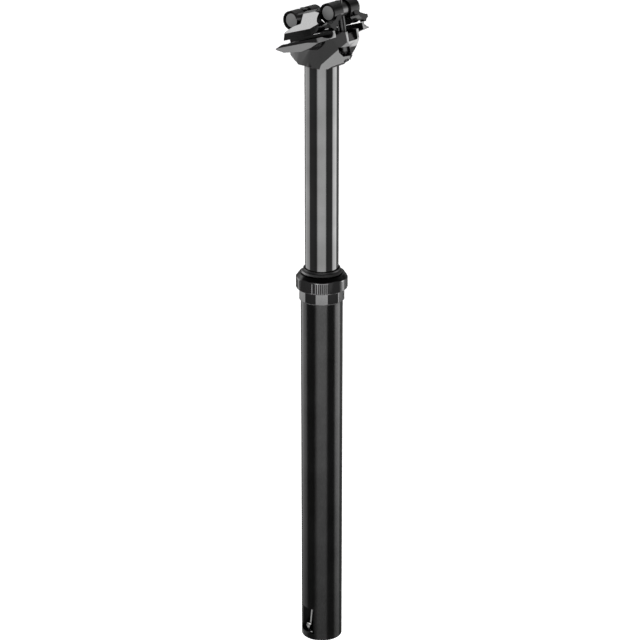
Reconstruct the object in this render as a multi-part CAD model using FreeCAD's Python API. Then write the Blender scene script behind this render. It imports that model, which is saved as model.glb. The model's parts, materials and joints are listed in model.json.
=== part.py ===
"""Telescopic (dropper) seatpost: outer tube, sprung inner tube, foot actuator and two-bolt saddle clamp.

Millimetres. +Z runs up the post's axis from the foot of the outer tube, +X is the bike's forward side
and +Y its left. The post is drawn fully extended.
"""
import FreeCAD, Part
import os
from math import cos, pi, radians, sin

V = FreeCAD.Vector
X_AXIS = V(1, 0, 0)
Y_AXIS = V(0, 1, 0)
Z_AXIS = V(0, 0, 1)
ORIGIN = V(0, 0, 0)

# ---- driving dimensions -------------------------------------------------------------------------
OUTER_R = 15.8            # 31.6 mm seat tube size
OUTER_BORE_R = 14.3
RING_SEAT_R = 15.4        # turned down under the base ring
OUTER_SHOULDER_Z = 291.0  # shoulder that the nut tightens against
OUTER_TOP_Z = 297.5       # end of the threaded neck
NECK_R = 15.2

WINDOW_Z = (5.0, 26.5)    # opening in the foot for the cable work
WINDOW_TURN = (42.0, 104.0)  # its two sides, degrees from +X towards +Y
WORK_TURN = 76.0          # direction of the lever's plane
SCREW_TURNS = (-9.0, 171.0)  # directions of the foot's cross screws
SCREW_R = 1.6
SCREW_Z = 40.0

RING_Z = (282.0, 291.0)
RING_FLAT_R = 16.9        # to the middle of each of its flats
RING_FLATS = 12
NUT_Z = (291.0, 300.4)
NUT_R = 19.4
NUT_TOP_Z = 303.0
RING_FACING = 127.7       # degrees: middle of one of the ring's flats
GRIPS = 5                 # fluted patches round the nut
GRIP_FACING = 122.6       # degrees: middle of the first patch
GRIP_FLUTES = 5
FLUTE_PITCH = 8.2         # degrees
FLUTE_R = 1.2
WIPER_R = 14.9
WIPER_TOP_Z = 306.7

INNER_R = 12.5
INNER_BORE_R = 11.0
INNER_Z = (200.0, 468.0)
TRAVEL = 150.0

FOOT_Z = (0.8, 44.0)
FLOOR_TOP_Z = 2.9         # upper face of the foot's floor under the lever work
WORK_HALF = 5.4           # half the width of the slot that the lever works in
LINK_R = 10.4             # distance of the cable's line from the axis
BARREL_Z = 7.9
BARREL_EYE_R = 2.5
EYE_R = 3.4
EYE_Y = (-0.9, 1.6)       # the link's eye, square to the lever's plane
BARREL_Y = (-3.4, 1.0)
CABLE_Y = -2.2
GRUB_Y = (-1.2, 0.8)
GRUB_R = 1.5
CABLE_HOLE_R = 0.8
LEVER_PIVOT = (2.6, 31.0)  # distance from the axis, height
LEVER_TIP = (8.1, 32.1)    # link pin on the lever
PIVOT_R = 1.5
STOP_R = 3.2
STOP_BORE_R = 2.55

ROD_R = 5.0
ROD_BORE_R = 2.2
ROD_SPIGOT_R = 4.0
ROD_TOP_Z = 225.0
CARTRIDGE_R = 10.9
CARTRIDGE_BORE_R = 9.5
CARTRIDGE_Z = (206.0, 425.0)
FLOATING_Z = (352.0, 362.0)
SEAL_DEPTH = 1.4          # of the seal grooves in both pistons

KEY_R = 1.2               # keys that stop the inner tube from turning
KEY_CENTRE_R = 13.3
KEY_Z = (226.0, 238.0)
KEY_TURNS = (30.0, 150.0, 270.0)
KEYWAY_Z = (64.0, 262.0)

FIT = 0.08                # radial running clearance
EASE = 0.3                # clearance between curved faces of moving pieces

TILT = 16.5               # degrees, front of the clamp down: level rails on a raked seat tube
CRADLE = V(-3.2, 0, 485.5)  # axis that the clamp tilts about
CRADLE_R = 10.7
RAIL_R = 3.5
RAIL_Y = 22.0
RAIL_DROP = 0.7           # rails' centre below the tilt axis, square to the rails
NUT_ALONG = 17.1          # barrel nuts from the tilt axis, along the rails
NUT_ABOVE = 12.7          # and square to them
BARREL_R = 5.5
BARREL_HALF = 13.6
HOOK_R = 6.9
HOOK_Y = (4.4, 14.5)
SEAT_FRONT = V(19.3, 0, 467.3)   # middle of the bolts' half-round washers under the head
SEAT_REAR = V(-20.2, 0, 479.5)
BOLT_R = 2.9
BOLT_HEAD_R = 4.9
WASHER_R = 5.0
POCKET_R = 5.6
POCKET_DEPTH = 7.6        # rear pocket, closed below but for the key's hole
KEY_HOLE_R = 3.2
SLOT_HALF = 5.1           # half the width of the washers' troughs and of the rear slot
WASHER_HALF = 4.7
RIDGE_TOP = V(-9.5, 15.4, 476.7)      # corners of the head's left flank
RIDGE_BOTTOM = V(-11.2, 14.8, 465.8)
FLANK_REAR = V(-27.9, 7.3, 482.0)
FLANK_FRONT = V(24.6, 10.6, 468.0)
KEEL_REAR = V(-25.5, 0, 467.5)
OPENING = (               # corners of the opening from the rear pocket through the facet above the keel
    V(-22.8, 10.4, 477.9), V(-28.4, 4.9, 479.0), V(-27.1, 0.9, 471.4), V(-23.0, 4.9, 470.6),
    V(-22.0, 8.6, 474.3))
OPENING_DEPTH = 5.0
SKIRT_R = 13.3            # head's collar round the inner tube
BOLT_TIP = 1.2            # bolt's length above its barrel nut


# ---- helpers ------------------------------------------------------------------------------------
def cylinder(r, z0, z1, at=ORIGIN):
    return Part.makeCylinder(r, z1 - z0, at + V(0, 0, z0), Z_AXIS)


def ring(r_out, r_in, z0, z1):
    return cylinder(r_out, z0, z1).cut(cylinder(r_in, z0 - 1, z1 + 1))


def box(x, y, z):
    return Part.makeBox(x[1] - x[0], y[1] - y[0], z[1] - z[0], V(x[0], y[0], z[0]))


def prism(points, direction):
    face = Part.Face(Part.makePolygon(list(points) + [points[0]]))
    return face.extrude(direction)


def turned(outline):
    """Solid of revolution about Z from a closed outline of (radius, height)."""
    points = [V(r, 0, z) for r, z in outline]
    face = Part.Face(Part.makePolygon(points + [points[0]]))
    return face.revolve(ORIGIN, Z_AXIS, 360)


def along(start, axis, r, length):
    return Part.makeCylinder(r, length, start, axis)


def fuse(first, *others):
    return first.fuse(list(others)).removeSplitter()


def regular(count, flat_r, z0, z1, facing):
    """Upright prism with flats; the middle of one flat faces the given angle."""
    corner_r = flat_r / cos(pi / count)
    angles = [radians(facing) + (i + 0.5) * 2 * pi / count for i in range(count)]
    return prism([V(corner_r * cos(a), corner_r * sin(a), z0) for a in angles], V(0, 0, z1 - z0))


def to_work(shape):
    """Place a shape drawn with the lever's plane as XZ into the window's direction."""
    shape.rotate(ORIGIN, Z_AXIS, WORK_TURN)
    return shape


def to_clamp(shape):
    """Place a shape drawn about the tilt axis, rails along X, into the tilted clamp."""
    shape.rotate(ORIGIN, Y_AXIS, TILT)
    shape.translate(CRADLE)
    return shape


def clamp_point(x, z):
    t = radians(TILT)
    return CRADLE + V(x * cos(t) + z * sin(t), 0, -x * sin(t) + z * cos(t))


NUT_FRONT = clamp_point(NUT_ALONG, NUT_ABOVE)
NUT_REAR = clamp_point(-NUT_ALONG, NUT_ABOVE)


# ---- outer post ---------------------------------------------------------------------------------
def outer_tube():
    shell = turned([
        (OUTER_BORE_R, 0), (OUTER_R, 0), (OUTER_R, RING_Z[0]), (RING_SEAT_R, RING_Z[0]),
        (RING_SEAT_R, OUTER_SHOULDER_Z), (NECK_R, OUTER_SHOULDER_Z), (NECK_R, OUTER_TOP_Z),
        (OUTER_BORE_R, OUTER_TOP_Z)])
    shell = shell.cut(wedge(WINDOW_TURN, 3 * OUTER_R, *WINDOW_Z))
    for turn in SCREW_TURNS:
        shell = shell.cut(foot_screw(turn))
    return shell.cut(key_cutters(KEY_R + 0.15, *KEYWAY_Z))


def wedge(turns, r, z0, z1):
    """Triangular sector between two directions."""
    corners = [V(r * cos(radians(t)), r * sin(radians(t)), z0) for t in turns]
    return prism([V(0, 0, z0)] + corners, V(0, 0, z1 - z0))


def collar_base_ring():
    z0, z1 = RING_Z
    ring_body = regular(RING_FLATS, RING_FLAT_R, z0, z1, RING_FACING)
    ring_body = ring_body.common(turned([
        (0, z0), (RING_FLAT_R - 0.5, z0), (RING_FLAT_R + 0.5, z0 + 1.0), (RING_FLAT_R + 0.5, z1), (0, z1)]))
    return ring_body.cut(cylinder(RING_SEAT_R, z0 - 1, z1 + 1))


def collar_nut():
    """Threaded nut with fluted grips between broad flats, closing over the bushing and the wiper."""
    z0, z1 = NUT_Z
    body = turned([
        (NECK_R, z0), (18.4, z0), (NUT_R, z0 + 1.0), (NUT_R, z1 - 0.3), (NUT_R - 0.5, z1),
        (17.0, NUT_TOP_Z), (WIPER_R, NUT_TOP_Z), (WIPER_R, OUTER_TOP_Z + 0.4), (NECK_R, OUTER_TOP_Z + 0.4)])
    pitch = 360.0 / GRIPS
    flute_at = NUT_R + 0.45
    for i in range(GRIPS):
        flat = box((NUT_R - 0.75, NUT_R + 2), (-9, 9), (z0 - 1, z1 + 3))
        flat.rotate(ORIGIN, Z_AXIS, GRIP_FACING + (i + 0.5) * pitch)
        body = body.cut(flat)
        for j in range(GRIP_FLUTES):
            t = radians(GRIP_FACING + i * pitch + (j - (GRIP_FLUTES - 1) / 2) * FLUTE_PITCH)
            body = body.cut(cylinder(FLUTE_R, z0 - 1, z1 - 0.9, V(flute_at * cos(t), flute_at * sin(t), 0)))
    return body


def wiper_seal():
    base = OUTER_TOP_Z + 0.4
    return turned([
        (INNER_R + 0.9, base), (WIPER_R - 0.05, base), (WIPER_R - 0.05, NUT_TOP_Z), (15.6, NUT_TOP_Z + 0.9),
        (14.6, NUT_TOP_Z + 1.9), (13.7, NUT_TOP_Z + 1.7), (13.9, WIPER_TOP_Z), (13.1, WIPER_TOP_Z),
        (INNER_R + FIT, WIPER_TOP_Z - 2.6), (INNER_R + FIT, WIPER_TOP_Z - 3.6),
        (INNER_R + 0.9, WIPER_TOP_Z - 4.6)])


def foam_ring():
    return ring(OUTER_BORE_R, INNER_R + EASE, 291.5, 297.0)


def upper_bushing():
    sleeve = ring(OUTER_BORE_R, INNER_R + FIT, 266.0, 291.0)
    slit = box((10, 16), (-0.5, 0.5), (265, 292))
    return sleeve.cut(slit)


# ---- foot actuator ------------------------------------------------------------------------------
def foot_mount():
    z0, z1 = FOOT_Z
    plug = cylinder(OUTER_BORE_R, z0, z1)
    plug = plug.cut(to_work(box((-9.0, 16.0), (-WORK_HALF, WORK_HALF), (FLOOR_TOP_Z, 36.5))))
    plug = plug.cut(wedge((WINDOW_TURN[0] - 4, WORK_TURN), 3 * OUTER_R, FLOOR_TOP_Z, WINDOW_Z[1] + 0.6))
    plug = plug.cut(cylinder(ROD_SPIGOT_R, 36.0, z1 + 1))
    plug = plug.cut(to_work(along(V(LEVER_PIVOT[0], -16, LEVER_PIVOT[1]), Y_AXIS, PIVOT_R, 32)))
    plug = plug.cut(to_work(cylinder(STOP_R, z0 - 1, FLOOR_TOP_Z + 1, V(LINK_R, 0, 0))))
    for turn in SCREW_TURNS:
        plug = plug.cut(foot_screw(turn))
    return plug


def foot_screw(turn):
    """Set screw that pins the foot mount in the tube."""
    inner = 7.5
    screw = along(V(inner, 0, SCREW_Z), X_AXIS, SCREW_R, OUTER_R - 0.4 - inner)
    screw.rotate(ORIGIN, Z_AXIS, turn)
    return screw


def foot_screws():
    out = []
    for turn in SCREW_TURNS:
        corners = [V(13.6, 0.9 * cos(k * pi / 3), SCREW_Z + 0.9 * sin(k * pi / 3)) for k in range(6)]
        socket = prism(corners, V(3, 0, 0))
        socket.rotate(ORIGIN, Z_AXIS, turn)
        out.append(foot_screw(turn).cut(socket))
    return Part.makeCompound(out)


def housing_stop():
    stop = cylinder(STOP_R, FOOT_Z[0] - 0.2, FLOOR_TOP_Z, V(LINK_R, 0, 0))
    stop = stop.cut(cylinder(STOP_BORE_R, FOOT_Z[0] - 1, FLOOR_TOP_Z - 0.7, V(LINK_R, 0, 0)))
    return to_work(stop.cut(cylinder(0.9, 0, FLOOR_TOP_Z + 1, V(LINK_R, 0, 0))))


def lever_pivot_pin():
    x, z = LEVER_PIVOT
    return to_work(along(V(x, -12.5, z), Y_AXIS, PIVOT_R, 25.0))


def lever_return_spring():
    x, z = LEVER_PIVOT
    coils = [Part.makeTorus(2.35, 0.35, V(x, y, z), Y_AXIS) for y in (3.2, 3.9, 4.6)]
    return to_work(Part.makeCompound(coils))


def actuator_lever():
    """Rocker: the nose lifts the valve pin when the cable pulls the forked outer end down."""
    px, pz = LEVER_PIVOT
    tx, tz = LEVER_TIP
    blade = prism([
        V(-2.4, -2.4, 32.4), V(px - 0.5, -2.4, 33.4), V(px + 3.2, -2.4, 33.6), V(tx + 1.4, -2.4, tz + 2.0),
        V(tx + 2.0, -2.4, tz - 1.2), V(tx - 0.6, -2.4, tz - 2.0), V(px, -2.4, pz - 3.0), V(-2.4, -2.4, 30.4)],
        V(0, 4.8, 0))
    nose = along(V(0, -2.4, 31.8), Y_AXIS, 2.2, 4.8)
    body = fuse(blade, nose)
    body = body.cut(box((px + 3.4, 14), (-1.1, 1.1), (20, 40)))
    body = body.cut(along(V(px, -5, pz), Y_AXIS, PIVOT_R + FIT, 10))
    body = body.cut(along(V(tx, -5, tz), Y_AXIS, 1.0, 10))
    return to_work(body)


def lever_link_pin():
    tx, tz = LEVER_TIP
    return to_work(along(V(tx, -3.0, tz), Y_AXIS, 1.0, 6.0))


def cable_link():
    """Slim blade from the lever down to the eye that grips the cable's barrel."""
    tx, tz = LEVER_TIP
    y = -0.75
    blade = prism([
        V(tx - 1.8, y, tz + 1.2), V(tx + 1.7, y, tz + 1.2), V(tx + 1.7, y, tz - 1.6),
        V(tx + 1.0, y, tz - 2.6),
        V(LINK_R + 0.8, y, BARREL_Z + 2.8), V(LINK_R - 1.0, y, BARREL_Z + 2.8), V(tx - 0.8, y, tz - 2.6),
        V(tx - 1.8, y, tz - 1.6)], V(0, 1.5, 0))
    eye = along(V(LINK_R, EYE_Y[0], BARREL_Z), Y_AXIS, EYE_R, EYE_Y[1] - EYE_Y[0])
    body = fuse(blade, eye)
    body = body.cut(along(V(LINK_R, -5, BARREL_Z), Y_AXIS, BARREL_EYE_R, 10))
    holes = [along(V(tx + step, -5, tz), Y_AXIS, 1.25, 10) for step in (-0.15, 0.15)]
    return to_work(body.cut(fuse(*holes)))


def cable_barrel():
    barrel = along(V(LINK_R, BARREL_Y[0], BARREL_Z), Y_AXIS, BARREL_EYE_R, BARREL_Y[1] - BARREL_Y[0])
    barrel = barrel.cut(along(V(LINK_R, GRUB_Y[0], BARREL_Z), Y_AXIS, GRUB_R, 4))
    return to_work(barrel.cut(cylinder(CABLE_HOLE_R, 0, 20, V(LINK_R, CABLE_Y, 0))))


def cable_grub_screw():
    x, z = LINK_R, BARREL_Z
    screw = along(V(x, GRUB_Y[0], z), Y_AXIS, GRUB_R, GRUB_Y[1] - GRUB_Y[0])
    corners = [V(x + 0.8 * cos(k * pi / 3), -0.2, z + 0.8 * sin(k * pi / 3)) for k in range(6)]
    socket = prism(corners, V(0, 3, 0))
    return to_work(screw.cut(socket))


def valve_pin():
    stem = cylinder(1.6, 36.2, 110.0)
    foot = cylinder(2.05, 34.1, 36.2)
    return fuse(stem, foot)


# ---- gas cartridge ------------------------------------------------------------------------------
def cartridge_rod():
    rod = fuse(cylinder(ROD_R, FOOT_Z[1], ROD_TOP_Z), cylinder(ROD_SPIGOT_R, 37.0, FOOT_Z[1]),
               cylinder(3.5, ROD_TOP_Z, ROD_TOP_Z + 14.0))
    return rod.cut(cylinder(ROD_BORE_R, 30, 200))


def main_piston():
    z = ROD_TOP_Z
    r = CARTRIDGE_BORE_R - FIT
    return turned([
        (3.5, z), (r, z), (r, z + 3.2), (r - SEAL_DEPTH, z + 3.2), (r - SEAL_DEPTH, z + 5.4), (r, z + 5.4),
        (r, z + 9), (3.5, z + 9)])


def piston_seal():
    r = CARTRIDGE_BORE_R - FIT
    return ring(r, r - SEAL_DEPTH, ROD_TOP_Z + 3.2, ROD_TOP_Z + 5.4)


def rod_nut():
    return regular(6, 5.8, ROD_TOP_Z + 9, ROD_TOP_Z + 13, 0).cut(cylinder(3.5, 200, 260))


def bottom_out_bumper():
    return ring(9.0, ROD_R, FOOT_Z[1], FOOT_Z[1] + 5.2)


def inner_tube():
    z0, z1 = INNER_Z
    tube = turned([
        (INNER_BORE_R, z0), (INNER_R - 0.4, z0), (INNER_R, z0 + 0.4), (INNER_R, z1), (INNER_BORE_R, z1)])
    return tube.cut(key_cutters(KEY_R, *KEY_Z))


def key_cutters(r, z0, z1):
    rods = []
    for turn in KEY_TURNS:
        a = radians(turn)
        rods.append(cylinder(r, z0, z1, V(KEY_CENTRE_R * cos(a), KEY_CENTRE_R * sin(a), 0)))
    return Part.makeCompound(rods)


def lower_bushing():
    sleeve = ring(OUTER_BORE_R - FIT, INNER_R, 205.0, 222.0)
    return sleeve.cut(box((10, 16), (-0.5, 0.5), (204, 223)))


def cartridge_body():
    z0, z1 = CARTRIDGE_Z
    return ring(CARTRIDGE_R, CARTRIDGE_BORE_R, z0, z1)


def cartridge_seal_head():
    z0 = CARTRIDGE_Z[0]
    r = ROD_R + FIT
    return turned([
        (r, z0), (CARTRIDGE_BORE_R, z0), (CARTRIDGE_BORE_R, z0 + 12), (r, z0 + 12), (r, z0 + 7),
        (r + 1.8, z0 + 7),
        (r + 1.8, z0 + 4), (r, z0 + 4)])


def rod_seal():
    return ring(ROD_R + FIT + 1.8, ROD_R + FIT, CARTRIDGE_Z[0] + 4, CARTRIDGE_Z[0] + 7)


def cartridge_retainer_nut():
    body = ring(INNER_BORE_R, ROD_R + 0.6, 200.8, CARTRIDGE_Z[0])
    for k in range(4):
        hole = cylinder(0.9, 200, 203, V(8.3 * cos(k * pi / 2), 8.3 * sin(k * pi / 2), 0))
        body = body.cut(hole)
    return body


def top_out_bumper():
    return ring(CARTRIDGE_BORE_R - EASE, ROD_R + EASE, CARTRIDGE_Z[0] + 12, ROD_TOP_Z - 0.4)


def cartridge_top_cap():
    z1 = CARTRIDGE_Z[1]
    return cylinder(CARTRIDGE_BORE_R, z1 - 12, z1).cut(cylinder(2.2, z1 - 13, z1 + 1))


def fill_valve():
    z1 = CARTRIDGE_Z[1]
    return fuse(cylinder(2.2, z1 - 12, z1), cylinder(3.2, z1, z1 + 11))


def valve_cap():
    z = CARTRIDGE_Z[1]
    return cylinder(4.2, z + 4, z + 14).cut(cylinder(3.2, z + 3, z + 11))


def floating_piston():
    z0, z1 = FLOATING_Z
    r = CARTRIDGE_BORE_R - FIT
    return turned([
        (0, z0), (r, z0), (r, z0 + 3.5), (r - SEAL_DEPTH, z0 + 3.5), (r - SEAL_DEPTH, z0 + 6), (r, z0 + 6),
        (r, z1), (0, z1)])


def floating_piston_seal():
    r = CARTRIDGE_BORE_R - FIT
    return ring(r, r - SEAL_DEPTH, FLOATING_Z[0] + 3.5, FLOATING_Z[0] + 6)


# ---- seat head ----------------------------------------------------------------------------------
def seat_head():
    """Forged head: a side outline trimmed to flat flanks that meet in a keel below the rear bolt."""
    side = prism([V(x, -20, z) for x, z in (
        (-12.9, 461.0), (12.9, 461.0), (14.2, 462.3), (22.6, 465.8), (23.6, 472.0), (21.0, 476.5),
        (8.5, 479.6), (-4.0, 483.0), (-13.0, 487.0), (-22.5, 488.8), (-26.8, 489.3), (-27.9, 484.0),
        (-28.3, 478.0), (-25.5, 467.5), (-15.5, 463.0))], V(0, 40, 0))
    half = ((27.0, 5.8), (16.0, 10.6), (-8.0, 15.8), (-28.0, 7.4), (-32.0, 5.8))
    plan = prism([V(x, y, 455) for x, y in half] + [V(x, -y, 455) for x, y in reversed(half)], V(0, 0, 40))
    body = side.common(plan)
    for corners in ((RIDGE_TOP, RIDGE_BOTTOM, FLANK_FRONT), (RIDGE_TOP, RIDGE_BOTTOM, FLANK_REAR),
                    (RIDGE_BOTTOM, FLANK_REAR, KEEL_REAR)):
        waste = beyond(*corners)
        body = body.cut(waste).cut(mirror_y(waste))
    body = fuse(body, skirt())
    body = body.cut(cylinder(INNER_R, 450, INNER_Z[1]))
    body = body.cut(along(CRADLE + V(0, -30, 0), Y_AXIS, CRADLE_R + EASE, 60))
    body = body.cut(rear_opening()).cut(mirror_y(rear_opening()))
    for seat, nut in ((SEAT_FRONT, NUT_FRONT), (SEAT_REAR, NUT_REAR)):
        body = body.cut(bolt_path(seat, nut))
    return body


def beyond(a, b, c):
    """Block outside the plane through three points, on the plane's +Y side."""
    normal = (b - a).cross(c - a).normalize()
    if normal.y < 0:
        normal = normal * -1
    u = (b - a).normalize()
    w = normal.cross(u)
    far = 90.0
    return prism([a + u * far + w * far, a - u * far + w * far, a - u * far - w * far, a + u * far - w * far],
                 normal * far)


def rear_opening():
    """Opening in the facet above the keel, through which the rear bolt's head shows."""
    normal = (FLANK_REAR - RIDGE_BOTTOM).cross(KEEL_REAR - RIDGE_BOTTOM).normalize()
    if normal.y < 0:
        normal = normal * -1
    inner = [c - normal * ((c - KEEL_REAR).dot(normal) + OPENING_DEPTH) for c in OPENING]
    return prism(inner, normal * (OPENING_DEPTH + 3.0))


def skirt():
    """Collar round the top of the inner tube, its lower edge in a shallow V at each side."""
    sleeve = turned([(0, 460.6), (SKIRT_R - 0.4, 460.6), (SKIRT_R, 461.0), (SKIRT_R, 471.0), (0, 471.0)])
    notch = prism([V(-6.0, -20, 459), V(-14.0, -20, 459), V(-14.0, -20, 462.4), V(-8.4, -20, 465.2),
                   V(-3.0, -20, 461.6)], V(0, 40, 0))
    return sleeve.cut(notch)


def bolt_path(seat, nut):
    """Slot for the bolt's shank above its seat, and the pocket for its head below."""
    axis = (nut - seat).normalize()
    sideways = V(axis.z, 0, -axis.x)
    outward = sideways if seat.x > 0 else sideways * -1
    shank = along(seat, axis, 3.5, 24)
    slot = shank
    for step in (1.0, 2.0):
        slot = slot.fuse(along(seat - sideways * step * 0.35, axis, 3.5, 24))
        slot = slot.fuse(along(seat + sideways * step * 0.35, axis, 3.5, 24))
    trough = along(seat - Y_AXIS * SLOT_HALF, Y_AXIS, WASHER_R + EASE, 2 * SLOT_HALF)
    if seat.x > 0:
        return slot.fuse([trough, along(seat, axis * -1, POCKET_R, 30)])
    pocket = along(seat, axis * -1, POCKET_R, POCKET_DEPTH)
    key_hole = along(seat, axis * -1, KEY_HOLE_R, 30)
    near = seat - Y_AXIS * SLOT_HALF
    gap = prism([near + axis * i + outward * j for i, j in (
        (6.6, -3.5), (6.6, 5.6), (1.4, 7.0), (1.0, 16.0), (24.0, 16.0), (24.0, -3.5))],
        Y_AXIS * 2 * SLOT_HALF)
    return slot.fuse([trough, pocket, key_hole, gap])


# ---- saddle clamp -------------------------------------------------------------------------------
def rail_grooves():
    grooves = [along(V(-40, y, -RAIL_DROP), X_AXIS, RAIL_R, 80) for y in (-RAIL_Y, RAIL_Y)]
    return Part.makeCompound(grooves)


def mirror_y(shape):
    return shape.mirror(ORIGIN, Y_AXIS)


def lower_cradle():
    """Half-round boss that rocks in the head, carrying the lower jaw of each rail."""
    top = -2.2
    boss = along(V(0, -17.0, 0), Y_AXIS, CRADLE_R, 34.0)
    boss = boss.common(box((-20, 20), (-20, 20), (-20, top)))
    boss = boss.cut(box((-4.6, 4.6), (-11, 11), (-6.4, 0)))
    plan = prism([V(x, y, -20) for x, y in (
        (18.6, 16.0), (26.0, 27.4), (23.0, 29.2), (-4.5, 29.2), (-13.0, 27.0), (-21.5, 22.8), (-21.5, 16.0))],
        V(0, 0, 25))
    side = prism([V(x, 10, z) for x, z in (
        (-21.5, top), (19.5, top), (26.0, -4.2), (22.7, -8.2), (8.5, -9.9), (-2.5, -8.3), (-12.0, -6.0),
        (-21.5, -4.8))], V(0, 25, 0))
    jaw = plan.common(side)
    jaw = jaw.cut(box((-30, 30), (27.6, 40), (-3.9, 5)))
    jaw = jaw.cut(prism([V(-30, y, z) for y, z in (
        (30.0, -3.2), (20.6, -10.2), (20.6, -20.0), (40.0, -20.0))], V(60, 0, 0)))
    jaw = jaw.fuse(box((-21.5, 18.6), (16.0, 18.4), (top - 1, 0.1)))
    body = fuse(boss, jaw, mirror_y(jaw))
    return to_clamp(body.cut(rail_grooves()))


def upper_clamp(side):
    """Upper jaw of one rail: a wing, a sloping plate over an arch, and hooks for the barrel nuts."""
    wing = prism([V(x, y, 0.4) for x, y in (
        (17.8, 16.2), (17.8, 27.0), (-8.6, 27.0), (-23.5, 21.8), (-23.5, 16.2))], V(0, 0, 4.8))
    wing = wing.cut(prism([V(14.9, 40, 5.3), V(19.0, 40, 5.3), V(19.0, 40, -3.5)], V(0, -40, 0)))
    web = prism([V(-15.2, y, z) for y, z in (
        (27.0, 4.4), (27.0, 5.2), (15.0, 15.6), (11.5, 17.0), (7.6, 16.0), (7.6, 10.4),
        (12.4, 9.2), (17.6, 2.0), (17.6, 0.6), (24.0, 0.6))], V(30.2, 0, 0))
    web = web.cut(prism([V(x, y, -1) for x, y in (
        (15.4, 26.0), (8.6, 23.0), (2.4, 22.0), (4.0, 14.4), (4.0, 5.0), (20.0, 5.0), (20.0, 26.0))],
        V(0, 0, 30)))
    web = web.cut(prism([V(x, y, -1) for x, y in (
        (-7.2, 15.0), (-13.8, 17.4), (-20.0, 19.6), (-20.0, 5.0), (-7.2, 5.0))], V(0, 0, 30)))
    web = web.cut(prism([V(x, y, -1) for x, y in (
        (-8.6, 27.0), (-23.5, 21.8), (-23.5, 30.0), (-8.6, 30.0))], V(0, 0, 30)))
    beam = prism([V(-17.0, y, z) for y, z in (
        (7.6, 10.0), (13.2, 9.2), (15.0, 13.4), (14.6, 15.6), (11.4, 16.6), (7.6, 15.6))], V(34.0, 0, 0))
    rear_leg = prism([V(-23.5, y, z) for y, z in (
        (21.6, 4.8), (14.5, 7.4), (12.0, 9.6), (7.6, 10.6), (7.6, 7.4), (11.6, 6.0), (16.4, 1.6),
        (20.0, 1.0))], V(9.7, 0, 0))
    hook_length = HOOK_Y[1] - HOOK_Y[0]
    hooks = [along(V(x, HOOK_Y[0], NUT_ABOVE), Y_AXIS, HOOK_R, hook_length) for x in (-NUT_ALONG, NUT_ALONG)]
    arch = prism([V(x, 8.0, z) for x, z in (
        (-9.0, -1.0), (-9.0, 0.6), (-12.6, 1.4), (-14.8, 4.2), (-15.8, 6.8), (-17.0, 7.4), (-18.4, 6.2),
        (-19.8, 2.8), (-20.0, -1.0))], V(0, 26, 0))
    body = fuse(wing, web, beam, rear_leg).cut(arch)
    body = fuse(body, *hooks)
    for x in (-NUT_ALONG, NUT_ALONG):
        body = body.cut(along(V(x, -20, NUT_ABOVE), Y_AXIS, BARREL_R + FIT, 60))
    mouth = prism([V(NUT_ALONG + i, 3, NUT_ABOVE + j) for i, j in (
        (-2, -1), (-9.5, -1.2), (-7.0, -6.6), (-1, -4))], V(0, 20, 0))
    body = body.cut(mouth).cut(rail_grooves())
    if side < 0:
        body = mirror_y(body)
    return to_clamp(body)


def barrel_nut(centre, seat):
    axis = (centre - seat).normalize()
    outline = [(0, -BARREL_HALF), (BARREL_R - 0.5, -BARREL_HALF), (BARREL_R, -BARREL_HALF + 0.5),
               (BARREL_R, BARREL_HALF - 0.5), (BARREL_R - 0.5, BARREL_HALF), (0, BARREL_HALF)]
    body = turned(outline)
    body.rotate(ORIGIN, X_AXIS, -90)
    body.translate(centre)
    return body.cut(along(centre - axis * 8, axis, BOLT_R + EASE, 16))


def bolt(seat, nut):
    """Socket-head bolt from below the head's seat up through the barrel nut."""
    axis = (nut - seat).normalize()
    reach = (nut - seat).Length + BARREL_R + BOLT_TIP
    body = fuse(along(seat, axis, BOLT_R, reach), along(seat - axis * 5.6, axis, BOLT_HEAD_R, 5.6))
    start = seat - axis * 6.6
    side = V(0, 1, 0)
    other = axis.cross(side)
    corners = [start + (side * cos(k * pi / 3) + other * sin(k * pi / 3)) * 2.9 for k in range(6)]
    return body.cut(prism(corners, axis * 4.4))


def washer(seat, nut):
    """Half-round washer: flat under the bolt's head, round side rocking in the head's trough."""
    axis = (nut - seat).normalize()
    log = along(seat - Y_AXIS * WASHER_HALF, Y_AXIS, WASHER_R, 2 * WASHER_HALF)
    above = along(seat, axis, 20, 20)
    return log.common(above).cut(along(seat - axis, axis, BOLT_R, 20))


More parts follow.
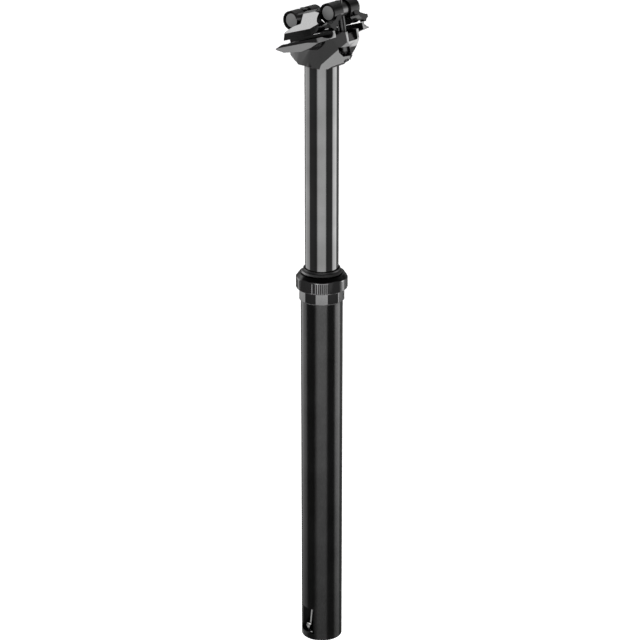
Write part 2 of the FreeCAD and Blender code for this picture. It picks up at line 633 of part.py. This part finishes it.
# ---- output -------------------------------------------------------------------------------------
NODES = {
    "outer_tube": outer_tube,
    "collar_base_ring": collar_base_ring,
    "collar_nut": collar_nut,
    "wiper_seal": wiper_seal,
    "foam_ring": foam_ring,
    "upper_bushing": upper_bushing,
    "foot_mount": foot_mount,
    "foot_screws": foot_screws,
    "housing_stop": housing_stop,
    "lever_pivot_pin": lever_pivot_pin,
    "lever_return_spring": lever_return_spring,
    "actuator_lever": actuator_lever,
    "lever_link_pin": lever_link_pin,
    "cable_link": cable_link,
    "cable_barrel": cable_barrel,
    "cable_grub_screw": cable_grub_screw,
    "valve_pin": valve_pin,
    "cartridge_rod": cartridge_rod,
    "main_piston": main_piston,
    "piston_seal": piston_seal,
    "rod_nut": rod_nut,
    "bottom_out_bumper": bottom_out_bumper,
    "inner_tube": inner_tube,
    "key_pins": lambda: key_cutters(KEY_R, *KEY_Z),
    "lower_bushing": lower_bushing,
    "cartridge_body": cartridge_body,
    "cartridge_seal_head": cartridge_seal_head,
    "rod_seal": rod_seal,
    "cartridge_retainer_nut": cartridge_retainer_nut,
    "top_out_bumper": top_out_bumper,
    "cartridge_top_cap": cartridge_top_cap,
    "fill_valve": fill_valve,
    "valve_cap": valve_cap,
    "floating_piston": floating_piston,
    "floating_piston_seal": floating_piston_seal,
    "seat_head": seat_head,
    "lower_cradle": lower_cradle,
    "upper_clamp_left": lambda: upper_clamp(1),
    "upper_clamp_right": lambda: upper_clamp(-1),
    "front_barrel_nut": lambda: barrel_nut(NUT_FRONT, SEAT_FRONT),
    "rear_barrel_nut": lambda: barrel_nut(NUT_REAR, SEAT_REAR),
    "front_bolt": lambda: bolt(SEAT_FRONT, NUT_FRONT),
    "front_washer": lambda: washer(SEAT_FRONT, NUT_FRONT),
    "rear_bolt": lambda: bolt(SEAT_REAR, NUT_REAR),
    "rear_washer": lambda: washer(SEAT_REAR, NUT_REAR),
}

os.makedirs("parts", exist_ok=True)
for name, make in NODES.items():
    shape = make()
    solids = shape.Solids
    good = shape.isValid() and all(s.Volume > 0 for s in solids)
    print(f"{name:24s} solids {len(solids)} volume {shape.Volume:10.1f} {'ok' if good else 'BAD'}")
    shape.exportStep(f"parts/{name}.step")
for label, point in (("front nut", NUT_FRONT), ("rear nut", NUT_REAR)):
    print(label, round(point.x, 3), round(point.z, 3))
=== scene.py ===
import json
from math import atan2, cos, pi, radians, sin

import bpy
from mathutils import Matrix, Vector

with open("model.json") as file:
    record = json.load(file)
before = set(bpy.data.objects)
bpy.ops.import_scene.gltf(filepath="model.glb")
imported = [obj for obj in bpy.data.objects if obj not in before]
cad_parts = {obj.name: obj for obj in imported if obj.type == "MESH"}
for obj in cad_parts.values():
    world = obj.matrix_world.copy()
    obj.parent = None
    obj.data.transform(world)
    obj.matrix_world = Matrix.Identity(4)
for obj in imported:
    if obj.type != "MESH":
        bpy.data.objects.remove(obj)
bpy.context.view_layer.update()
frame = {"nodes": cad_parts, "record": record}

NODES = frame["nodes"]
SCENE = bpy.context.scene

# ---- the view: a long lens behind the rider's left shoulder, looking down ------------------------
VIEW_AZIMUTH = radians(217.7)
VIEW_PITCH = radians(20.708)
VIEW_BACK = 1.4601       # horizontal distance from the post's axis
VIEW_HEIGHT = 0.8165
VIEW_SENSOR = 36.0       # sensor and lens in millimetres
VIEW_LENS = 116.85
VIEW_SHIFT = -0.0028

FLOOR_Z = -0.30          # the post hangs above it, as it has no foot to stand on
FLOOR_HALF = 9.0
FLOOR_GLOW = 0.45        # keeps the floor pale without more light on the post


# ---- node helpers --------------------------------------------------------------------------------
class Graph:
    """A short way to write a node tree."""

    def __init__(self, tree):
        self.tree = tree
        tree.nodes.clear()

    def node(self, kind, inputs=None, **settings):
        made = self.tree.nodes.new(kind)
        for key, value in settings.items():
            setattr(made, key, value)
        for key, value in (inputs or {}).items():
            self.put(made.inputs[key], value)
        return made

    def put(self, socket, value):
        if isinstance(value, bpy.types.NodeSocket):
            self.tree.links.new(value, socket)
        else:
            socket.default_value = value

    def math(self, operation, a, b=0.0, clamp=False):
        made = self.node("ShaderNodeMath", {0: a, 1: b}, operation=operation, use_clamp=clamp)
        return made.outputs[0]

    def spread(self, value, low, high, out_low=0.0, out_high=1.0):
        made = self.node("ShaderNodeMapRange", {"Value": value, "From Min": low, "From Max": high,
                                                "To Min": out_low, "To Max": out_high})
        return made.outputs[0]

    def ramp(self, value, stops):
        made = self.node("ShaderNodeValToRGB", {"Fac": value})
        elements = made.color_ramp.elements
        while len(elements) < len(stops):
            elements.new(0.5)
        for element, (place, level) in zip(elements, stops):
            element.position = place
            element.color = level if isinstance(level, tuple) else (level, level, level, 1)
        return made.outputs["Color"]

    def noise(self, vector, scale, detail):
        made = self.node("ShaderNodeTexNoise", {"Vector": vector, "Scale": scale, "Detail": detail})
        return made.outputs["Fac"]

    def dot(self, vector, direction):
        made = self.node("ShaderNodeVectorMath", {0: vector, 1: direction}, operation="DOT_PRODUCT")
        return made.outputs["Value"]

    def blend(self, share, first, second):
        made = self.node("ShaderNodeMix", {"Factor": share}, data_type="RGBA")
        self.put(made.inputs[6], first)
        self.put(made.inputs[7], second)
        return made.outputs[2]

    def surface(self, shader, output="ShaderNodeOutputMaterial"):
        self.put(self.node(output).inputs["Surface"], shader.outputs[0])


# ---- materials -----------------------------------------------------------------------------------
CLOUD_SCALE = 38.0           # slow change of shade over a piece, about 25 mm across
CLOUD_SHADES = (0.86, 1.16)  # darkest and lightest, times the tint
CLOUD_DETAIL, GRAIN_DETAIL = 4.0, 3.0
SPECKLE_SHADE = 3.0          # times the tint
SPECKLE_FROM, SPECKLE_FULL = 0.45, 0.75
WORN_POINTINESS = (0.53, 0.60)   # where rubbing starts on an edge, and where it is full
WORN_TINT = (0.5, 0.5, 0.5, 1)
MOTTLE = (0.3, 0.7)          # the part of a noise's range that shade and roughness follow
SMOOTHEST = 0.02
GRAIN_DEPTH = 0.0001         # metres
REACH_FADE = 0.0003          # metres


def tint(level, warm=0.0):
    return (level * (1 + warm), level, level * (1 - warm), 1)


def shaded(colour, factor):
    return tuple(min(1.0, c * factor) for c in colour[:3]) + (1,)


def painted_facet_shading(direction, low, high, colour, metallic=1.0, reach=None):
    """Painted light and shade: a tint for the faces that look along a direction, on both sides of the post.

    It comes in as the cosine to the direction goes from low to high. Reach is a direction and a distance
    along it, past which the tint starts.
    """
    return Vector(direction).normalized(), low, high, colour, metallic, reach


# How far a face takes its painted light and shade, by the way it looks in the piece's frame and, if asked, by
# where it lies.
def painted_shading_share(g, place, direction, low, high, reach):
    nx, ny, nz = g.node("ShaderNodeSeparateXYZ", {
        "Vector": g.node("ShaderNodeTexCoord").outputs["Normal"]}).outputs
    even = g.node("ShaderNodeCombineXYZ", {0: nx, 1: g.math("ABSOLUTE", ny), 2: nz}).outputs[0]
    share = g.spread(g.dot(even, direction), low, high)
    if reach:
        way, start = reach
        past = g.spread(g.dot(place, Vector(way)), start, start + REACH_FADE)
        share = g.math("MULTIPLY", share, past)
    return share


def alloy(name, base, rough, grain=0.0, grain_scale=(1, 1, 1), speckle=0.0, wear=0.0, metallic=1.0,
          rough_spread=0.05, size=900.0, facing=()):
    """Metal or plastic with an uneven finish, a fine grain and, if asked, rubbed edges and flats with painted
    light and shade.
    """
    material = bpy.data.materials.new(name)
    material.use_nodes = True
    g = Graph(material.node_tree)
    place = g.node("ShaderNodeTexCoord").outputs["Object"]
    stretched = g.node("ShaderNodeMapping", {"Vector": place, "Scale": grain_scale}).outputs[0]
    cloud = g.noise(place, CLOUD_SCALE, CLOUD_DETAIL)
    fine = g.noise(stretched, size, GRAIN_DETAIL)
    dark, light = (shaded(base, factor) for factor in CLOUD_SHADES)
    colour = g.ramp(cloud, list(zip(MOTTLE, (dark, light))))
    if speckle:
        dots = g.ramp(fine, [(SPECKLE_FROM, 0.0), (SPECKLE_FULL, 1.0)])
        colour = g.blend(g.math("MULTIPLY", dots, speckle), colour, shaded(base, SPECKLE_SHADE))
    if wear:
        point = g.node("ShaderNodeNewGeometry").outputs["Pointiness"]
        edge = g.spread(point, *WORN_POINTINESS)
        worn = g.math("MULTIPLY", edge, g.math("MULTIPLY", cloud, wear), clamp=True)
        colour = g.blend(worn, colour, WORN_TINT)
    # painted light and shade on the flats, by the way each face looks
    for direction, low, high, other, other_metallic, reach in facing:
        share = painted_shading_share(g, place, direction, low, high, reach)
        colour = g.blend(share, colour, other)
        if other_metallic != metallic:
            metallic = g.spread(share, 0.0, 1.0, metallic, other_metallic)
    mottle = g.math("ADD", g.math("MULTIPLY", cloud, 0.5), g.math("MULTIPLY", fine, 0.5))
    smoother = max(SMOOTHEST, rough - rough_spread)
    roughness = g.spread(mottle, *MOTTLE, smoother, rough + rough_spread)
    shader = g.node("ShaderNodeBsdfPrincipled", {
        "Base Color": colour, "Roughness": roughness, "Metallic": metallic})
    if grain:
        bump = g.node("ShaderNodeBump", {"Height": fine, "Strength": grain, "Distance": GRAIN_DEPTH})
        g.put(shader.inputs["Normal"], bump.outputs[0])
    g.surface(shader)
    return material


HEAD_PAINTED_SHADE_AND_LIGHT = [                # painted shade on the front flank (held even) and the rear flank, painted light on the flat above the keel
    painted_facet_shading((0.121, 0.990, -0.074), 0.985, 0.993, tint(0.050)),
    painted_facet_shading((-0.400, 0.917, 0.012), 0.975, 0.985, tint(0.036)),
    painted_facet_shading((-0.677, 0.606, -0.417), 0.95, 0.97, tint(0.125))]
# painted shade on the jaws' sloping sides
JAW_PAINTED_SHADE = [painted_facet_shading((-0.227, 0.598, -0.767), 0.93, 0.96, tint(0.033))]
PLATE_PAINTED_REFLECTION_AND_SHADE = [               # painted reflection on the sloping plates, ahead of the rear leg, and painted shade on the clamp's rear ends
    painted_facet_shading((0.215, 0.655, 0.725), 0.88, 0.94, tint(0.10), reach=((0.959, 0, -0.284), -0.1555)),
    painted_facet_shading((-0.959, 0, 0.284), 0.9, 0.95, tint(0.012))]
# painted shade on the collar's upward faces
COLLAR_TOP_PAINTED_SHADE = [painted_facet_shading((0, 0, 1), 0.35, 0.5, tint(0.012))]
# painted reflection: a light grey, not metallic, on the nut's end faces
NUT_ENDS_PAINTED_REFLECTION = [painted_facet_shading((0, 1, 0), 0.93, 0.97, tint(0.26), metallic=0.0)]

MATERIALS = {
    "outer_black": alloy("satin_anodised", tint(0.042), 0.20, 0.06, (1, 1, 0.35), speckle=0.2, size=1500,
                         rough_spread=0.03),
    "foot_black": alloy("matt_anodised", tint(0.008), 0.5, 0.08, size=1500),
    "gloss_black": alloy("polished_hard_anodised", tint(0.125), 0.085, 0.03, (1, 1, 0.02), size=1800,
                         rough_spread=0.02),
    "collar_black": alloy("gloss_collar", tint(0.10), 0.12, 0.04, size=1500, wear=0.4, facing=COLLAR_TOP_PAINTED_SHADE),
    "head_black": alloy("forged_anodised", tint(0.05), 0.24, 0.10, speckle=0.2, size=1400, wear=0.4,
                        facing=HEAD_PAINTED_SHADE_AND_LIGHT),
    "clamp_black": alloy("machined_anodised", tint(0.075), 0.20, 0.06, (0.15, 1, 1), size=1200, wear=0.3,
                         facing=JAW_PAINTED_SHADE),
    "bare_alloy": alloy("machined_alloy", tint(0.62), 0.28, 0.06, (0.1, 1, 1), size=1500),
    "steel": alloy("turned_steel", tint(0.22, 0.01), 0.24, 0.06, (0.2, 0.2, 1), size=1800),
    "black_steel": alloy("black_steel", tint(0.05), 0.26, 0.08, size=1700, wear=0.3),
    # black nut whose end faces carry a painted reflection
    "nut_alloy": alloy("black_nut_painted_reflection_ends", tint(0.07), 0.22, 0.06, (1, 0.2, 1), size=1500,
                       facing=NUT_ENDS_PAINTED_REFLECTION),
    "rubber_black": alloy("rubber", tint(0.012), 0.38, 0.15, metallic=0.0, size=2200),
    "bushing": alloy("bearing_plastic", tint(0.12), 0.5, 0.1, metallic=0.0),
    "foam": alloy("foam", tint(0.05), 0.9, 0.5, metallic=0.0, size=1200),
    "key_brass": alloy("brass", (0.70, 0.52, 0.24, 1), 0.3, 0.05),
}
# a separate copy of the clamp's finish for the upper clamps, to carry the plates' painted reflection and
# painted shade
UPPER_CLAMP = alloy("machined_plate", tint(0.035), 0.22, 0.06, (0.15, 1, 1), size=1200, wear=0.15,
                    facing=PLATE_PAINTED_REFLECTION_AND_SHADE)


def dress_nodes():
    for entry in frame["record"]["subparts"]:
        name = entry["node"]
        upper = name.startswith("upper_clamp")
        material = UPPER_CLAMP if upper else MATERIALS[entry["material_slot"]]
        NODES[name].material_slots[0].material = material


# ---- rounded edges -------------------------------------------------------------------------------
def geometry_group(name):
    group = bpy.data.node_groups.new(name, "GeometryNodeTree")
    for way in ("INPUT", "OUTPUT"):
        group.interface.new_socket("Geometry", in_out=way, socket_type="NodeSocketGeometry")
    return group, group.nodes.new("NodeGroupInput"), group.nodes.new("NodeGroupOutput")


def plain_normals_group():
    """A node group that drops the normals stored with a mesh, which the rounded edges make wrong."""
    group, start, end = geometry_group("plain_normals")
    drop = group.nodes.new("GeometryNodeRemoveAttribute")
    drop.inputs["Name"].default_value = "custom_normal"
    group.links.new(start.outputs[0], drop.inputs["Geometry"])
    group.links.new(drop.outputs[0], end.inputs[0])
    return group


def smooth_group(limit):
    """A node group that shades smooth over edges flatter than the limit."""
    group, start, end = geometry_group("smooth_by_angle")
    nodes, links = group.nodes, group.links
    faces = nodes.new("GeometryNodeSetShadeSmooth")
    edges = nodes.new("GeometryNodeSetShadeSmooth")
    edges.domain = "EDGE"
    angle = nodes.new("GeometryNodeInputMeshEdgeAngle")
    less = nodes.new("FunctionNodeCompare")
    less.operation = "LESS_THAN"
    less.inputs[1].default_value = limit
    links.new(start.outputs[0], faces.inputs["Geometry"])
    links.new(faces.outputs[0], edges.inputs["Geometry"])
    links.new(angle.outputs["Unsigned Angle"], less.inputs[0])
    links.new(less.outputs[0], edges.inputs["Shade Smooth"])
    links.new(edges.outputs[0], end.inputs[0])
    return group


CREASE = {               # degrees: edges flatter than this shade smooth
    "seat_head": 16, "upper_clamp_left": 16, "upper_clamp_right": 16, "lower_cradle": 16, "collar_nut": 12}
CREASE_OTHERS = 34
BEVEL_FROM_OTHERS = 24   # degrees: edges sharper than this are rounded
PLAIN_NORMALS = plain_normals_group()
SMOOTH = {limit: smooth_group(radians(limit)) for limit in (12, 16, CREASE_OTHERS)}
WELD_GAP = 0.00001
FLAT_WITHIN = 0.8        # degrees: faces closer than this are joined
BEVEL_SEGMENTS = 2
FLAT_FACE_WEIGHT = 80    # percent: how far large faces set the normals next to an edge


def round_edges(node, width):
    """Join the piece's coplanar faces, round its sharp edges and shade it smooth up to its creases.

    Modifiers do it all, so the CAD mesh stays as it is.
    """
    piece = NODES[node]
    crease = CREASE.get(node, CREASE_OTHERS)
    plain = piece.modifiers.new("plain", "NODES")
    plain.node_group = PLAIN_NORMALS
    weld = piece.modifiers.new("weld", "WELD")
    weld.merge_threshold = WELD_GAP
    flat = piece.modifiers.new("flat", "DECIMATE")
    flat.decimate_type = "DISSOLVE"
    flat.angle_limit = radians(FLAT_WITHIN)
    bevel = piece.modifiers.new("bevel", "BEVEL")
    bevel.width = width
    bevel.segments = BEVEL_SEGMENTS
    bevel.limit_method = "ANGLE"
    bevel.angle_limit = radians(min(BEVEL_FROM_OTHERS, crease - 1))
    bevel.use_clamp_overlap = True
    soft = piece.modifiers.new("smooth", "NODES")
    soft.node_group = SMOOTH[crease]
    even = piece.modifiers.new("even", "WEIGHTED_NORMAL")
    even.keep_sharp = True
    even.weight = FLAT_FACE_WEIGHT


EDGE_WIDTHS = {          # metres
    "seat_head": 0.0005, "lower_cradle": 0.0005, "upper_clamp_left": 0.0005, "upper_clamp_right": 0.0005,
    "collar_base_ring": 0.0003, "collar_nut": 0.0002, "outer_tube": 0.0002, "front_barrel_nut": 0.0002,
    "rear_barrel_nut": 0.0002, "front_bolt": 0.0003, "rear_bolt": 0.0003, "front_washer": 0.0002,
    "rear_washer": 0.0002, "actuator_lever": 0.0002, "cable_link": 0.0004, "cable_barrel": 0.0002,
    "foot_mount": 0.0002,
}


# ---- light and stage ------------------------------------------------------------------------------
WORLD_STRENGTH = 4.0
AROUND = (                    # degrees round the post from the main view, light: boxes at eye level
    (-180, 0.03), (-146, 0.03), (-138, 0.40), (-95, 0.40), (-87, 0.025), (-60, 0.02), (-35, 0.012),
    (-28, 0.45), (-18, 0.55), (18, 0.55), (26, 0.50), (31, 0.02), (74, 0.03), (82, 0.75), (114, 0.95),
    (121, 0.06), (180, 0.03))
BEHIND = (                    # the same for the boxes above the head
    (-180, 0.06), (-160, 0.10), (-148, 1.1), (-118, 1.1), (-106, 0.06), (-60, 0.02), (60, 0.02), (110, 0.05),
    (150, 0.05), (180, 0.06))
LEVEL_BAND = [                # height, 0 straight down to 1 straight up, and AROUND's share there
    (0.2, 0.06), (0.2575, 0.17), (0.29, 0.5), (0.33, 1.0), (0.55, 1.0), (0.62, 0.35), (0.70, 0.1), (0.8, 0.0)]
DOWN = [(0.0, 0.85), (0.05, 0.7), (0.10, 0.36), (0.15, 0.17), (0.2, 0.05), (0.25, 0.0)]
BACK_BAND = [                 # BEHIND's share
    (0.60, 0.0), (0.68, 1.0), (0.86, 1.0), (0.94, 0.3), (1.0, 0.2)]
TOP = [(0.93, 0.02), (1.0, 0.2)]
OVERHEAD_PLACE, OVERHEAD_AIM = (0.2, -0.3, 1.9), (0, 0, 0.3)
OVERHEAD_SIZE = (1.2, 1.2)
OVERHEAD_POWER = 18.0


def round_stops(table):
    return [((turn + 180) / 360, light) for turn, light in table]


def studio_world():
    """Soft boxes and dark flags all round the post, as a sky fixed to the post, not to the camera in use."""
    world = bpy.data.worlds.new("studio")
    SCENE.world = world
    world.use_nodes = True
    g = Graph(world.node_tree)
    way = g.node("ShaderNodeTexCoord").outputs["Generated"]
    x, y, z = g.node("ShaderNodeSeparateXYZ", {"Vector": way}).outputs
    facing = atan2(-cos(VIEW_AZIMUTH), sin(VIEW_AZIMUTH))
    turned_x = g.math("ADD", g.math("MULTIPLY", x, cos(facing)), g.math("MULTIPLY", y, sin(facing)))
    turned_y = g.math("SUBTRACT", g.math("MULTIPLY", y, cos(facing)), g.math("MULTIPLY", x, sin(facing)))
    turn = g.spread(g.math("ARCTAN2", turned_y, turned_x), -pi, pi)
    height = g.spread(z, -1.0, 1.0)
    level = g.math("MULTIPLY", g.ramp(turn, round_stops(AROUND)), g.ramp(height, LEVEL_BAND))
    back = g.math("MULTIPLY", g.ramp(turn, round_stops(BEHIND)), g.ramp(height, BACK_BAND))
    total = g.math("ADD", level, g.ramp(height, DOWN))
    total = g.math("ADD", total, back)
    total = g.math("ADD", total, g.ramp(height, TOP))
    light = g.node("ShaderNodeBackground", {"Color": total, "Strength": WORLD_STRENGTH})
    g.surface(light, "ShaderNodeOutputWorld")


def area_light(name, place, aim, size, power):
    data = bpy.data.lights.new(name, "AREA")
    data.shape = "RECTANGLE"
    data.size, data.size_y = size
    data.energy = power
    lamp = bpy.data.objects.new(name, data)
    lamp.location = place
    lamp.rotation_mode = "QUATERNION"
    lamp.rotation_quaternion = (Vector(aim) - Vector(place)).to_track_quat("-Z", "Y")
    lamp.visible_camera = False
    SCENE.collection.objects.link(lamp)


def floor():
    mesh = bpy.data.meshes.new("floor")
    h = FLOOR_HALF
    corners = [(-h, -h, FLOOR_Z), (h, -h, FLOOR_Z), (h, h, FLOOR_Z), (-h, h, FLOOR_Z)]
    mesh.from_pydata(corners, [], [(0, 1, 2, 3)])
    plane = bpy.data.objects.new("floor", mesh)
    SCENE.collection.objects.link(plane)
    material = bpy.data.materials.new("pale_floor")
    material.use_nodes = True
    g = Graph(material.node_tree)
    g.surface(g.node("ShaderNodeBsdfPrincipled", {
        "Base Color": (0.9, 0.9, 0.9, 1), "Roughness": 0.8, "Emission Color": (1, 1, 1, 1),
        "Emission Strength": FLOOR_GLOW}))
    mesh.materials.append(material)
    plane.visible_glossy = False


def camera():
    data = bpy.data.cameras.new("camera")
    data.sensor_width = VIEW_SENSOR
    data.lens = VIEW_LENS
    data.shift_x = VIEW_SHIFT
    eye = bpy.data.objects.new("camera", data)
    back = Vector((sin(VIEW_AZIMUTH), -cos(VIEW_AZIMUTH), 0))
    eye.location = back * VIEW_BACK + Vector((0, 0, VIEW_HEIGHT))
    ahead = -back * cos(VIEW_PITCH) - Vector((0, 0, sin(VIEW_PITCH)))
    eye.rotation_mode = "QUATERNION"
    eye.rotation_quaternion = ahead.to_track_quat("-Z", "Y")
    SCENE.collection.objects.link(eye)
    SCENE.camera = eye


camera()
dress_nodes()
for node_name, edge in EDGE_WIDTHS.items():
    round_edges(node_name, edge)
studio_world()
floor()
area_light("overhead", OVERHEAD_PLACE, OVERHEAD_AIM, OVERHEAD_SIZE, OVERHEAD_POWER)
SCENE.view_settings.view_transform = "Standard"
